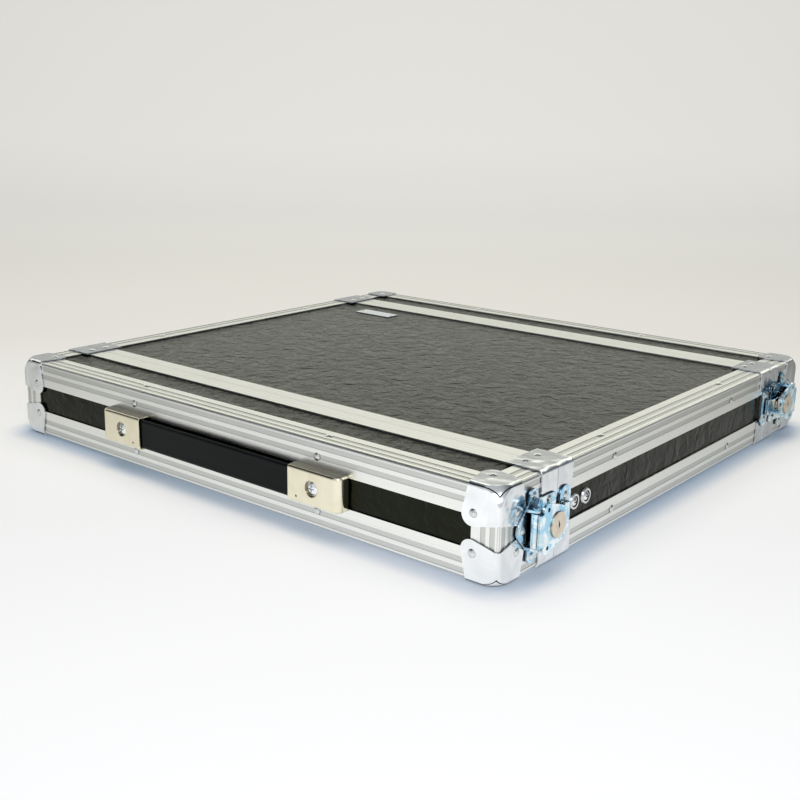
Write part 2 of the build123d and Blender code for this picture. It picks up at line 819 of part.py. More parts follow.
def lever():
    edges = disc(lobe_place, lobe_height, lobe_radius) + disc(lobe_place, -lobe_height, lobe_radius)
    edges += disc(lock_place, 0, nose_radius)
    outline = make_hull(edges)
    tail_middle = (lobe_place + lever_tail) / 2
    outline += Pos(tail_middle, 0) * Rectangle(lever_tail - lobe_place, 2 * lever_tail_half_height)
    for sign in (-1, 1):
        outline -= Pos(lobe_place, sign * lobe_hole_height) * Circle(lobe_hole_radius)
    outline -= Pos(lock_place, 0) * Circle(lock_barrel_radius + fixed_clearance)
    plate = extrude(Pos(0, 0, lever_inner_face) * outline, amount=lever_thickness)
    plate += cross_pin(pivot_place, pivot_height, knuckle_radius, knuckle_half_length)
    inner = claw_half_width + claw_ear_gap
    root = lever_inner_face + claw_ear_root
    top = Polyline((claw_pivot_place - claw_ear_reach, root), (pivot_place - claw_ear_reach, root))
    for sign in (-1, 1):
        profile = make_hull(top.edges() + disc(claw_pivot_place, claw_pivot_height, claw_barrel_radius))
        start = inner if sign > 0 else -inner - claw_ear_thickness
        plate += along_y(profile, start, start + claw_ear_thickness)
    plate -= cross_pin(pivot_place, pivot_height, pin_radius + running_clearance, 2 * knuckle_half_length)
    reach = inner + 2 * claw_ear_thickness
    plate -= cross_pin(claw_pivot_place, claw_pivot_height, claw_pin_radius + running_clearance, reach)
    return (latch_frame * plate).solids()


def lock_cylinder():
    barrel_length = lock_face - lock_back
    barrel = Pos(lock_place, 0, lock_back + barrel_length / 2) * Cylinder(lock_barrel_radius, barrel_length)
    flange = Pos(lock_place, 0, lever_face + lock_flange_height / 2)
    flange = flange * Cylinder(lock_flange_radius, lock_flange_height)
    housing = barrel + flange
    bore = Cylinder(plug_radius + running_clearance, 4 * barrel_length)
    housing -= Pos(lock_place, 0, lock_back) * bore
    return (latch_frame * housing).solids()


def key_plug():
    top = lock_face + plug_proud
    bottom = lock_back - hook_clearance
    plug = Pos(lock_place, 0, (top + bottom) / 2) * Cylinder(plug_radius, top - bottom)
    slot = Box(keyhole_width, keyhole_length, 2 * keyhole_depth)
    slot += Cylinder(keyhole_round, 2 * keyhole_depth)
    plug -= Pos(lock_place, 0, top) * slot
    cam = Box(cam_length, cam_width, cam_thickness, align=(Align.MAX, Align.CENTER, Align.MAX))
    plug += Pos(lock_place, 0, bottom) * cam
    plug += Pos(lock_place, 0, bottom - cam_thickness / 2) * Cylinder(cam_width / 2, cam_thickness)
    return (latch_frame * plug).solids()


def claw():
    underside = base_top + lip_height + hook_clearance
    top = underside + claw_thickness
    lip_rear = -(strike_near + lip_from_edge + lip_height + lip_top)
    ramp_shift = hook_clearance * sqrt(2)
    ramp_top = lip_rear - ramp_shift + hook_clearance
    tip_level = base_top + hook_clearance
    ramp_low = ramp_top - (underside - tip_level)
    hook_end = ramp_low - hook_length
    arm = block(ramp_top, claw_pivot_place, -claw_half_width, claw_half_width, underside, top)
    root = ramp_top + hook_root
    hook = Polyline((root, top), (hook_end, top), (hook_end, tip_level + hook_tip_chamfer),
                    (hook_end + hook_tip_chamfer, tip_level), (ramp_low, tip_level),
                    (ramp_top, underside), (root, underside), close=True)
    piece = arm + along_y(make_face(hook), -claw_hook_half_width, claw_hook_half_width)
    piece += cross_pin(claw_pivot_place, claw_pivot_height, claw_barrel_radius, claw_half_width)
    bore_radius = claw_pin_radius + running_clearance
    piece -= cross_pin(claw_pivot_place, claw_pivot_height, bore_radius, claw_hook_half_width)
    reach = claw_half_width + claw_ear_gap + claw_ear_thickness
    pin = cross_pin(claw_pivot_place, claw_pivot_height, claw_pin_radius, reach)
    return (latch_frame * piece).solids() + (latch_frame * pin).solids()


def strike():
    middle = -(strike_near + strike_width / 2)
    sheet = Rot(0, 0, 90) * SlotCenterToCenter(2 * strike_rivet_height, strike_width)
    piece = extrude(Pos(middle, 0, plate_thickness) * sheet, amount=latch_sheet)
    near_foot = -(strike_near + lip_from_edge)
    far_foot = near_foot - 2 * lip_height - lip_top
    low = base_top - latch_sheet / 2
    level = base_top + lip_height
    lip = Polyline((near_foot, low), (near_foot, base_top), (near_foot - lip_height, level),
                   (far_foot + lip_height, level), (far_foot, base_top), (far_foot, low), close=True)
    piece += along_y(make_face(lip), -lip_half_height, lip_half_height)
    return (latch_frame * piece).solids()


# Assembly: the rear lid is the front lid turned half a turn, without the handle
body_rivets, body_holes = fastened(body_rivet_spots(), body_underside_spots())
lid_rivets, lid_holes = fastened(lid_rivet_spots(), lid_underside_spots())
front_strikes = left_right(strike())
front_braces = brace_set(body_end, seam + brace_width, body_brace_side_leg, body_holes)
front_body_rim = body_rim(body_holes)
front_corners = corner_set(lid_holes)
lid_cuts = lid_holes + corner_voids()

nodes = dict(body_panels(body_holes + rail_holes()))
nodes["body_edge_angles"] = body_edge_angles(body_holes)
nodes["body_front_rim"] = front_body_rim
nodes["body_rear_rim"] = turned(front_body_rim)
nodes["body_braces"] = front_braces + turned(front_braces)
nodes["rack_rail_right"] = rack_rail()
nodes["rack_rail_left"] = [mirror(solid, about=Plane.YZ) for solid in rack_rail()]
nodes["rail_screws"] = left_right(rail_screw_set())
nodes["rail_cup_washers"] = left_right(cup_washer_set())
nodes["name_plate"] = name_plate()
nodes["body_rivets"] = body_rivets + name_plate_rivets()
nodes["latch_strikes"] = drill(front_strikes + turned(front_strikes), body_holes)

front_lid = {
    "edge_angles": lid_edge_angles(lid_cuts),
    "wall_panels": lid_wall_panels(lid_holes),
    "rim": lid_rim(lid_holes),
    "braces": brace_set(seam - brace_width, lid_end, lid_brace_side_leg, lid_holes),
    "corners": front_corners,
    "rivets": lid_rivets,
    "latch_bases": drill(left_right(latch_base()), lid_holes),
    "latch_pins": left_right(latch_pin()),
}
for piece, solids in front_lid.items():
    nodes["front_lid_" + piece] = solids
    nodes["rear_lid_" + piece] = turned(solids)
nodes["front_lid_face_panel"] = lid_face_panel(lid_cuts + handle_holes())
nodes["rear_lid_face_panel"] = turned(lid_face_panel(lid_cuts))
nodes["front_lid_foam"] = foam_lining([-handle_screw_x, handle_screw_x])
nodes["rear_lid_foam"] = turned(foam_lining([]))

nodes["handle_cap_right"] = handle_cap()
nodes["handle_cap_left"] = [mirror(solid, about=Plane.YZ) for solid in handle_cap()]
nodes["handle_screws"] = left_right(handle_screw())
nodes["handle_nuts"] = left_right(handle_nut())
nodes["handle_strap_grip"] = strap_grip()
nodes["handle_strap_ends"] = strap_ends()

latch_pieces = {
    "latch_lever": lever(),
    "lock_cylinder": lock_cylinder(),
    "key_plug": key_plug(),
    "latch_claw": claw(),
}
for piece, solids in latch_pieces.items():
    mirrored = [mirror(solid, about=Plane.YZ) for solid in solids]
    nodes["front_right_" + piece] = solids
    nodes["front_left_" + piece] = mirrored
    nodes["rear_left_" + piece] = turned(solids)
    nodes["rear_right_" + piece] = turned(mirrored)

os.makedirs("parts", exist_ok=True)
for name, solids in nodes.items():
    placed = [place * solid for solid in solids]
    piece = placed[0] if len(placed) == 1 else Compound(placed)
    export_step(piece, "parts/" + name + ".step")
print(len(nodes), "nodes")
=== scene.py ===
import bmesh
import bpy
from math import cos, pi, radians, sin
from mathutils import Matrix, Vector, noise


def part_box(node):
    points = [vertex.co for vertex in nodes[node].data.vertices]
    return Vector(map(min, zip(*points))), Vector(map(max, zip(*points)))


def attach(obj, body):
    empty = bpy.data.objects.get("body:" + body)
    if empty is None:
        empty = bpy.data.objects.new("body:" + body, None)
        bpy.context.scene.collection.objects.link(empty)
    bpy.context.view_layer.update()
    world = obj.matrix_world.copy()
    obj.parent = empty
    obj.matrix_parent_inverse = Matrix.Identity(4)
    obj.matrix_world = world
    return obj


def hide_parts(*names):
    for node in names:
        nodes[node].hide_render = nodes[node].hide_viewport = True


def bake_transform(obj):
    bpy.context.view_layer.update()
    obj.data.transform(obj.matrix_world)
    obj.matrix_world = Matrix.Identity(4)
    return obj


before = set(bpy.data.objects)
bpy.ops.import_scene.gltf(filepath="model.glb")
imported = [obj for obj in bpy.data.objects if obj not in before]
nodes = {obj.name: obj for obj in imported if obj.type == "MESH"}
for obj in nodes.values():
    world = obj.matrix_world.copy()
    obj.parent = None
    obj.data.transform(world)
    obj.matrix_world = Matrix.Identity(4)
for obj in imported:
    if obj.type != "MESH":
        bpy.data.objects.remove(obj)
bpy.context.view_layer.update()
print("frame loaded:", len(nodes), "nodes")

camera = {
    "place": (0.633611, -0.806759, 0.310047),
    "turn": 39.058,         # degrees round the case, from the handle side towards the right
    "height": 15.374,       # degrees above level
    "roll": 1.042,
    "lens": 50.17,
    "sensor": 36,
    "clipStart": 0.01,
}
turn, height, roll = (radians(camera[key]) for key in ("turn", "height", "roll"))
back = Vector((sin(turn) * cos(height), -cos(turn) * cos(height), sin(height)))
levelRight = Vector((cos(turn), sin(turn), 0))
levelUp = back.cross(levelRight)
right = cos(roll) * levelRight + sin(roll) * levelUp
up = -sin(roll) * levelRight + cos(roll) * levelUp
lens = bpy.data.cameras.new("camera")
lens.lens = camera["lens"]
lens.sensor_width = camera["sensor"]
lens.clip_start = camera["clipStart"]
cameraObject = bpy.data.objects.new("camera", lens)
cameraObject.matrix_world = Matrix((
    (right.x, up.x, back.x, camera["place"][0]),
    (right.y, up.y, back.y, camera["place"][1]),
    (right.z, up.z, back.z, camera["place"][2]),
    (0, 0, 0, 1)))
bpy.context.collection.objects.link(cameraObject)
bpy.context.scene.camera = cameraObject
bpy.context.scene.view_settings.view_transform = "Standard"
print("camera placed")

noiseSpan = (0.3, 0.7)      # most of a noise's values lie between these
white = (1, 1, 1)
black = (0, 0, 0)


# Shader nodes, written as nested calls: a value is a number, a colour or another node's output
def addNode(tree, kind, inputs=(), output=0, **settings):
    node = tree.nodes.new("ShaderNode" + kind)
    for name, value in settings.items():
        setattr(node, name, value)
    for key, value in dict(inputs).items():
        if isinstance(value, bpy.types.NodeSocket):
            tree.links.new(value, node.inputs[key])
        else:
            node.inputs[key].default_value = value
    return node.outputs[output]


def math(tree, operation, *values):
    return addNode(tree, "Math", dict(enumerate(values)), operation=operation)


def mixValue(tree, share, first, second):
    return addNode(tree, "Mix", {0: share, 2: first, 3: second})


def mixColor(tree, share, first, second, blend="MIX"):
    return addNode(tree, "Mix", {0: share, 6: first, 7: second}, 2, data_type="RGBA", blend_type=blend)


def remap(tree, value, fromLow, fromHigh, toLow=0.0, toHigh=1.0):
    return addNode(tree, "MapRange", {0: value, 1: fromLow, 2: fromHigh, 3: toLow, 4: toHigh})


def rgba(color):
    return (*color, 1.0)


# Two colours, over the span of a value that lies between them
def toned(tree, value, span, first, second):
    return mixColor(tree, remap(tree, value, *span), rgba(first), rgba(second))


def axisOf(tree, vector, axis):
    return addNode(tree, "SeparateXYZ", {0: vector}, axis)


def objectPlace(tree):
    return addNode(tree, "TexCoord", output=3)


def stretched(tree, scale):
    return addNode(tree, "Mapping", {"Vector": objectPlace(tree), "Scale": scale})


def noiseValue(tree, vector, scale, detail=3.0, roughness=0.5, distortion=0.0):
    inputs = {"Vector": vector, "Scale": scale, "Detail": detail, "Roughness": roughness,
              "Distortion": distortion}
    return addNode(tree, "TexNoise", inputs)


# A bump is its depth in metres and its strength
def bumped(tree, height, bump, under=None):
    inputs = {"Height": height, "Distance": bump[0], "Strength": bump[1]}
    if under is not None:
        inputs["Normal"] = under
    return addNode(tree, "Bump", inputs)


# 0 in a corner or slot, 1 in the open
def openness(tree, reach, closed, clear):
    occlusion = addNode(tree, "AmbientOcclusion", {"Distance": reach}, 1, samples=6)
    return remap(tree, occlusion, closed, clear)


# Painted shade: mixes the look's shade colour into a tone in corners, slots and under edges
def shaded(tree, tone, look):
    clear = openness(tree, look["reach"], *look["clearSpan"])
    return mixColor(tree, clear, rgba(look["shade"]), tone)


def softEdges(tree, radius):
    return addNode(tree, "Bevel", {"Radius": radius}, samples=4)


def newMaterial(name, fixed):
    material = bpy.data.materials.new(name)
    material.use_nodes = True
    shader = material.node_tree.nodes["Principled BSDF"]
    for key, value in fixed.items():
        shader.inputs[key].default_value = value
    return material, material.node_tree, shader


def feed(tree, shader, **links):
    for key, value in links.items():
        tree.links.new(value, shader.inputs[key.replace("_", " ")])


# The studio: a pale sweep of paper, its brightness set where it is seen.
# Distances away are metres from the case's middle, straight away from the camera.
# A span of four numbers is a range and the two values at its ends.
studio = {
    "floorDiffuse": (0.60, 0.585, 0.55),
    "wallDiffuse": (0.20, 0.20, 0.19),
    "wallBegins": (-0.1, 1.5),      # distances away over which the floor's tone turns into the wall's darker one, which leaves the wall's brightness mostly to its painted light
    "glow": [                       # distances away and the paper's painted light there
        (-0.60, (0.440, 0.455, 0.500)),
        (-0.25, (0.325, 0.335, 0.365)),
        (0.40, (0.330, 0.320, 0.285)),
        (0.90, (0.440, 0.430, 0.385)),
        (1.30, (0.535, 0.525, 0.485)),
        (1.85, (0.625, 0.615, 0.580)),
    ],
    "spreadStart": 1.1,             # metres before the middle where the painted light begins to fan out
    "spreadLeast": 0.5,
    "sideLoss": 0.28,               # how much the painted light drops towards the sides
    "sideLeast": 0.8,
    "brightSide": 0.03,
    # the painted shadow of the case on the paper
    "paintedShadowReach": 0.025,
    "paintedShadowSpan": (0.45, 0.95),
    "paintedShadowTint": (0.42, 0.66, 1.0),
    "frontPaintedShadow": (0.15, 0.42, 0.66, 0.34),   # least light of the painted shadow under the edge, by metres from the bright spot
    "rightPaintedShadow": (0.0, 0.26, 0.74, 0.45),    # least light of the painted shadow beside the right wall, by metres along it
    "rightWall": (0.266, 0.284),
    "brightSpot": (0.25, -0.45),
    "mirrorShare": 0.35,            # how much of the paper's own light the metal sees
    "mirrorNear": (0.96, 0.985, 1.0),
    "mirrorFar": (0.995, 1.0, 0.89),
    "mirrorTurns": (-0.3, 0.4),
    "floorLight": (0.1, 1.0, 0.96, 0.22),       # painted reflection in the metal, by metres from the bright spot
    "wallLight": (0.25, 1.0, 0.96, 0.72),       # painted reflection in the metal, by height
    "wallInMetal": (0.02, 0.25),
    # a painted window on the wall, seen only in the metal
    "window": 0.9,
    "windowFoot": (1.2, 1.6, 0.0, 1.0),
    "windowHead": (2.6, 3.0, 1.0, 0.0),
    "sweepStart": 1.1,              # metres behind the middle where the floor begins to rise
    "sweepRadius": 1.6,
    "sweepSteps": 24,
    "wallTop": 4.5,
    "halfWidth": 5.0,
    "frontEdge": -4.0,
}


def sweepPoints():
    rise, start, steps = studio["sweepRadius"], studio["sweepStart"], studio["sweepSteps"]
    points = [(studio["frontEdge"], 0.0), (start, 0.0)]
    for step in range(1, steps + 1):
        angle = step / steps * pi / 2
        points.append((start + rise * sin(angle), rise * (1 - cos(angle))))
    points.append((start + rise, studio["wallTop"]))
    return points


def buildSweep():
    mesh = bmesh.new()
    rows = []
    away = -Vector((back.x, back.y, 0)).normalized()
    side = Vector((away.y, -away.x, 0))
    for distance, level in sweepPoints():
        row = []
        for sign in (-1, 1):
            spot = away * distance + side * sign * studio["halfWidth"]
            row.append(mesh.verts.new((spot.x, spot.y, level)))
        rows.append(row)
    for low, high in zip(rows, rows[1:]):
        mesh.faces.new((low[0], low[1], high[1], high[0]))
    data = bpy.data.meshes.new("studioSweep")
    mesh.to_mesh(data)
    mesh.free()
    for face in data.polygons:
        face.use_smooth = True
    sweep = bpy.data.objects.new("studioSweep", data)
    bpy.context.collection.objects.link(sweep)
    return sweep


def paperGlow(tree, away):
    steps = studio["glow"]
    first, last = steps[0][0], steps[-1][0]
    ramp = tree.nodes.new("ShaderNodeValToRGB")
    tree.links.new(remap(tree, away, first, last), ramp.inputs[0])
    for distance, color in steps[1:-1]:
        ramp.color_ramp.elements.new((distance - first) / (last - first))
    for element, (distance, color) in zip(ramp.color_ramp.elements, steps):
        element.color = rgba(color)
    return ramp.outputs[0]


def weighed(tree, first, firstWeight, second, secondWeight):
    parts = (math(tree, "MULTIPLY", first, firstWeight), math(tree, "MULTIPLY", second, secondWeight))
    return math(tree, "ADD", *parts)


def spotDistance(tree, x, y):
    squares = []
    for value, middle in zip((x, y), studio["brightSpot"]):
        offset = math(tree, "SUBTRACT", value, middle)
        squares.append(math(tree, "MULTIPLY", offset, offset))
    return math(tree, "SQRT", math(tree, "ADD", *squares))


def sweepMaterial():
    material, tree, shader = newMaterial("studioPaper", {"Roughness": 0.9, "Specular IOR Level": 0.1})
    place = addNode(tree, "NewGeometry")
    x, y, level = (axisOf(tree, place, axis) for axis in range(3))
    away = weighed(tree, x, -sin(turn), y, cos(turn))
    aside = weighed(tree, x, cos(turn), y, sin(turn))
    fromSpot = spotDistance(tree, x, y)
    diffuse = toned(tree, away, studio["wallBegins"], studio["floorDiffuse"], studio["wallDiffuse"])

    # Painted shadow: close to the case the paper is painted dark and bluish
    paintedShadowClear = openness(tree, studio["paintedShadowReach"], *studio["paintedShadowSpan"])
    paintedShadowClear = math(tree, "MAXIMUM", paintedShadowClear, remap(tree, fromSpot, *studio["frontPaintedShadow"]))
    atWall = remap(tree, x, *studio["rightWall"])
    beside = math(tree, "MULTIPLY", atWall, remap(tree, y, *studio["rightPaintedShadow"]))
    paintedShadowClear = math(tree, "MAXIMUM", paintedShadowClear, beside)
    paintedShadowColor = mixColor(tree, paintedShadowClear, rgba(studio["paintedShadowTint"]), rgba(white))
    diffuse = mixColor(tree, 1.0, diffuse, paintedShadowColor, "MULTIPLY")
    glow = mixColor(tree, 1.0, paperGlow(tree, away), paintedShadowColor, "MULTIPLY")

    # Painted light: the paper's glow fans out from before the case and drops towards the sides
    reach = math(tree, "MAXIMUM", math(tree, "ADD", away, studio["spreadStart"]), studio["spreadLeast"])
    spread = math(tree, "SUBTRACT", math(tree, "DIVIDE", aside, reach), studio["brightSide"])
    loss = math(tree, "MULTIPLY", math(tree, "MULTIPLY", spread, spread), studio["sideLoss"])
    fade = math(tree, "MAXIMUM", math(tree, "SUBTRACT", 1.0, loss), studio["sideLeast"])
    fade = math(tree, "MULTIPLY", fade, paintedShadowClear)

    # Painted reflections, seen only in the metal: the floor is brightest before the near corner, and the wall
    # darkens upwards to a painted window
    floorLight = remap(tree, fromSpot, *studio["floorLight"])
    wallLight = remap(tree, level, *studio["wallLight"])
    foot = remap(tree, level, *studio["windowFoot"])
    window = math(tree, "MULTIPLY", foot, remap(tree, level, *studio["windowHead"]))
    wallLight = math(tree, "ADD", wallLight, math(tree, "MULTIPLY", window, studio["window"]))
    mirrorLight = mixValue(tree, remap(tree, level, *studio["wallInMetal"]), floorLight, wallLight)
    mirrorTint = toned(tree, away, studio["mirrorTurns"], studio["mirrorNear"], studio["mirrorFar"])

    inCamera, glossy, through = (addNode(tree, "LightPath", output=ray) for ray in (0, 3, 6))
    plain = math(tree, "MULTIPLY", math(tree, "MAXIMUM", inCamera, through), fade)
    strength = mixValue(tree, glossy, plain, mirrorLight)
    glow = mixColor(tree, glossy, glow, mirrorTint)
    dimmed = math(tree, "MULTIPLY", glossy, 1 - studio["mirrorShare"])
    diffuse = mixColor(tree, dimmed, diffuse, rgba(black))
    feed(tree, shader, Base_Color=diffuse, Emission_Color=glow, Emission_Strength=strength)
    return material


buildSweep().data.materials.append(sweepMaterial())

room = {
    "overhead": (0.80, 0.82, 0.84),
    "level": (0.55, 0.55, 0.54),
    "levelSpan": (0.0, 0.8),
    "bright": (1.15, 1.18, 1.22),
    "dim": (0.24, 0.28, 0.32),
    "facing": (0.3, -0.95),         # the flat direction of the bright side
    "facingSpan": (-0.3, 0.85),
    "dark": (0.04, 0.045, 0.055),
    "darkSpot": (-0.607, -0.505, 0.614),
    "darkSpan": (0.87, 0.95),
    "backdrop": (1.18, 1.17, 1.13),
    "strength": 0.62,
}


def dressWorld():
    world = bpy.data.worlds.new("softRoom")
    bpy.context.scene.world = world
    world.use_nodes = True
    tree = world.node_tree
    background = tree.nodes["Background"]
    direction = addNode(tree, "TexCoord")
    x, y, high = (axisOf(tree, direction, axis) for axis in range(3))
    light = toned(tree, high, room["levelSpan"], room["level"], room["overhead"])
    # Painted reflections, which only the metal shows: a bright room before the case, a dim one behind it and a
    # dark spot up to the left
    facing = weighed(tree, x, room["facing"][0], y, room["facing"][1])
    mirror = toned(tree, facing, room["facingSpan"], room["dim"], room["bright"])
    toSpot = addNode(tree, "VectorMath", {0: direction, 1: room["darkSpot"]}, 1, operation="DOT_PRODUCT")
    mirror = mixColor(tree, remap(tree, toSpot, *room["darkSpan"]), mirror, rgba(room["dark"]))
    inCamera, glossy = (addNode(tree, "LightPath", output=ray) for ray in (0, 3))
    light = mixColor(tree, inCamera, light, rgba(room["backdrop"]))
    tree.links.new(mixColor(tree, glossy, light, mirror), background.inputs["Color"])
    background.inputs["Strength"].default_value = room["strength"]


dressWorld()

lamps = {
    "keyLamp": {"place": (-0.35, 0.2, 2.0), "aim": (0, 0, 0), "size": 1.8, "power": 26,
                "color": (1.0, 0.99, 0.97), "inMetal": False},
    "fillLamp": {"place": (1.6, -1.5, 1.3), "aim": (0.1, 0, 0), "size": 1.2, "power": 12,
                 "color": (0.95, 0.98, 1.0), "inMetal": True},
}
for name, lamp in lamps.items():
    light = bpy.data.lights.new(name, "AREA")
    light.shape = "SQUARE"
    light.size = lamp["size"]
    light.energy = lamp["power"]
    light.color = lamp["color"]
    holder = bpy.data.objects.new(name, light)
    holder.location = lamp["place"]
    aim = Vector(lamp["aim"]) - Vector(lamp["place"])
    holder.rotation_euler = aim.to_track_quat("-Z", "Y").to_euler()
    holder.visible_glossy = lamp["inMetal"]
    bpy.context.collection.objects.link(holder)
print("studio lit")


def blackLaminate():
    look = {
        "base": (0.0010, 0.0017, 0.0004),
        "light": (0.0034, 0.0046, 0.0014),
        "patches": 14.0,
        "patchSpan": (0.35, 0.7),
        "rippleSize": 0.011,
        "ripple": (0.0036, 1.0),
        "swells": 22.0,
        "swell": (0.0020, 0.8),
        "grainSize": 0.0012,
        "grain": (0.00015, 0.55),
        "calmSides": 0.3,           # how much of the ripples the upright panels show
        "smears": 60.0,
        "roughness": (0.19, 0.28),
    }
    fixed = {"IOR": 1.5, "Specular IOR Level": 0.16, "Specular Tint": (0.955, 1.0, 0.72, 1.0)}
    material, tree, shader = newMaterial("blackLaminate", fixed)
    place = objectPlace(tree)
    upward = math(tree, "ABSOLUTE", axisOf(tree, addNode(tree, "NewGeometry", output=1), 2))
    calm = remap(tree, upward, 0.0, 1.0, look["calmSides"], 1.0)
    ripples = noiseValue(tree, place, 1 / look["rippleSize"], detail=2.5, roughness=0.55, distortion=0.6)
    ripples = math(tree, "MULTIPLY", ripples, calm)
    swells = noiseValue(tree, place, look["swells"], detail=2.0)
    cells = addNode(tree, "TexVoronoi", {"Vector": place, "Scale": 1 / look["grainSize"]}, feature="SMOOTH_F1")
    grain = math(tree, "MULTIPLY", cells, calm)
    smooth = bumped(tree, ripples, look["ripple"], bumped(tree, swells, look["swell"]))
    patches = noiseValue(tree, place, look["patches"], detail=4.0)
    tone = toned(tree, patches, look["patchSpan"], look["base"], look["light"])
    rough = remap(tree, noiseValue(tree, place, look["smears"]), *noiseSpan, *look["roughness"])
    feed(tree, shader, Base_Color=tone, Roughness=rough, Normal=bumped(tree, grain, look["grain"], smooth))
    return material


caseForm = {
    "middle": (0.0, 0.00435, 0.035),
    "half": (0.265, 0.254, 0.0338),
    "seam": 0.1865,
    "barEnd": 0.2425,       # from here outwards the drawn lines of the angles turn the corner
    "leafEnd": 0.2632,      # and here those of the rims
}


def fromMiddle(tree, axis):
    along = axisOf(tree, objectPlace(tree), axis)
    return math(tree, "ABSOLUTE", math(tree, "SUBTRACT", along, caseForm["middle"][axis]))


# Metres below the nearest outer face of the case
def skinDepth(tree):
    depths = [math(tree, "SUBTRACT", caseForm["half"][axis], fromMiddle(tree, axis)) for axis in range(3)]
    return math(tree, "MINIMUM", math(tree, "MINIMUM", depths[0], depths[1]), depths[2])


def drawnLines(tree, along, look):
    scale = [1.0, 1.0, 1.0]
    scale[along] = look["lineStretch"]
    return noiseValue(tree, stretched(tree, tuple(scale)), look["lines"], roughness=0.6)


def turnedLines(tree, look, end, along):
    share = math(tree, "GREATER_THAN", fromMiddle(tree, 0), end)
    return mixValue(tree, share, drawnLines(tree, 0, look), drawnLines(tree, along, look))


def aluminium(name, direction):
    look = {
        "base": (0.86, 0.86, 0.83),
        "dim": (0.80, 0.80, 0.77),
        "groove": (0.60, 0.605, 0.58),
        "lines": 900.0,
        "lineStretch": 0.02,
        "line": (0.00003, 0.25),
        "grooveDepth": (0.0003, 0.00012),           # below the skin, and how far a point may be off it
        "ribPitch": 0.0021,
        "ribDull": (0.0, 0.0007, 0.8, 0.0),
        "plateDull": (0.4, 0.7, 0.0, 0.25),
        "dullEdge": (0.0002, 0.4),
        "dullRoughness": 0.08,
        "shade": (0.02, 0.02, 0.017),
        "reach": 0.0030,
        "clearSpan": (0.50, 0.80),
        "lip": 0.0004,                              # the skin itself never gets the painted shade
        "wear": 22.0,
        "roughness": (0.27, 0.33),
        "wornRoughness": (-0.03, 0.04),
    }
    if direction == "plate":
        look.update(base=(0.82, 0.86, 0.93), dim=(0.74, 0.78, 0.85))
    material, tree, shader = newMaterial(name, {"Metallic": 1.0, "Specular Tint": (0.82, 0.82, 0.84, 1.0)})
    depth = skinDepth(tree)
    worn = noiseValue(tree, objectPlace(tree), look["wear"], detail=4.0)
    if direction == "angles":
        lines = turnedLines(tree, look, caseForm["barEnd"], 1)
        dull = math(tree, "COMPARE", depth, *look["grooveDepth"])
    elif direction == "rims":
        lines = turnedLines(tree, look, caseForm["leafEnd"], 2)
        fromSeam = math(tree, "SUBTRACT", fromMiddle(tree, 1), caseForm["seam"])
        dull = remap(tree, math(tree, "PINGPONG", fromSeam, look["ribPitch"]), *look["ribDull"])
    else:
        lines = drawnLines(tree, 0, look)
        dull = remap(tree, worn, *look["plateDull"])
    tone = toned(tree, lines, noiseSpan, look["dim"], look["base"])
    tone = mixColor(tree, dull, tone, rgba(look["groove"]))
    # Painted shade in corners, slots and under edges, never on the outer skin
    clear = openness(tree, look["reach"], *look["clearSpan"])
    clear = math(tree, "MAXIMUM", clear, math(tree, "LESS_THAN", depth, look["lip"]))
    tone = mixColor(tree, clear, rgba(look["shade"]), tone)
    drawn = remap(tree, lines, *noiseSpan, *look["roughness"])
    rough = math(tree, "ADD", drawn, remap(tree, worn, *noiseSpan, *look["wornRoughness"]))
    rough = math(tree, "ADD", rough, math(tree, "MULTIPLY", dull, look["dullRoughness"]))
    edges = bumped(tree, math(tree, "SUBTRACT", 1.0, dull), look["dullEdge"])
    feed(tree, shader, Base_Color=tone, Roughness=rough, Normal=bumped(tree, lines, look["line"], edges))
    return material


def brightSteel():
    look = {
        "base": (0.88, 0.895, 0.91),
        "warm": (0.80, 0.81, 0.82),
        "clouds": 55.0,
        "cloudSpan": (0.38, 0.62),
        "shade": (0.12, 0.13, 0.14),
        "reach": 0.0016,
        "clearSpan": (0.4, 0.85),
        "dents": 75.0,
        "dent": (0.0014, 0.8),
        "scratches": 1100.0,
        "scratch": (0.00002, 0.3),
        "roughness": (0.14, 0.24),
    }
    fixed = {"Metallic": 1.0, "Specular Tint": (0.45, 0.46, 0.50, 1.0)}
    material, tree, shader = newMaterial("brightSteel", fixed)
    place = objectPlace(tree)
    dents = noiseValue(tree, place, look["dents"], detail=1.5, roughness=0.4)
    clouds = noiseValue(tree, place, look["clouds"], distortion=0.6)
    scratches = noiseValue(tree, place, look["scratches"], detail=2.0)
    # random clouds of tone, with painted shade in corners and under edges
    tone = shaded(tree, toned(tree, clouds, look["cloudSpan"], look["base"], look["warm"]), look)
    rough = remap(tree, clouds, *noiseSpan, *look["roughness"])
    normal = bumped(tree, scratches, look["scratch"], bumped(tree, dents, look["dent"]))
    feed(tree, shader, Base_Color=tone, Roughness=rough, Normal=normal)
    return material


def rivetSteel():
    look = {
        "base": (0.74, 0.75, 0.75),
        "clouds": 240.0,
        "mottle": (0.15, 0.0),
        "shade": (0.07, 0.075, 0.08),
        "reach": 0.0018,
        "clearSpan": (0.62, 0.97),
        "scratches": 2200.0,
        "scratch": (0.00003, 0.4),
        "edge": 0.0004,
        "roughness": (0.16, 0.28),
    }
    material, tree, shader = newMaterial("rivetSteel", {"Metallic": 1.0})
    place = objectPlace(tree)
    clouds = noiseValue(tree, place, look["clouds"], detail=2.0)
    scratches = noiseValue(tree, place, look["scratches"], detail=2.0)
    # random darker mottle in the shade colour, then painted shade in dimples and under edges
    mottle = remap(tree, clouds, *noiseSpan, *look["mottle"])
    tone = shaded(tree, mixColor(tree, mottle, rgba(look["base"]), rgba(look["shade"])), look)
    rough = remap(tree, clouds, *noiseSpan, *look["roughness"])
    normal = bumped(tree, scratches, look["scratch"], softEdges(tree, look["edge"]))
    feed(tree, shader, Base_Color=tone, Roughness=rough, Normal=normal)
    return material


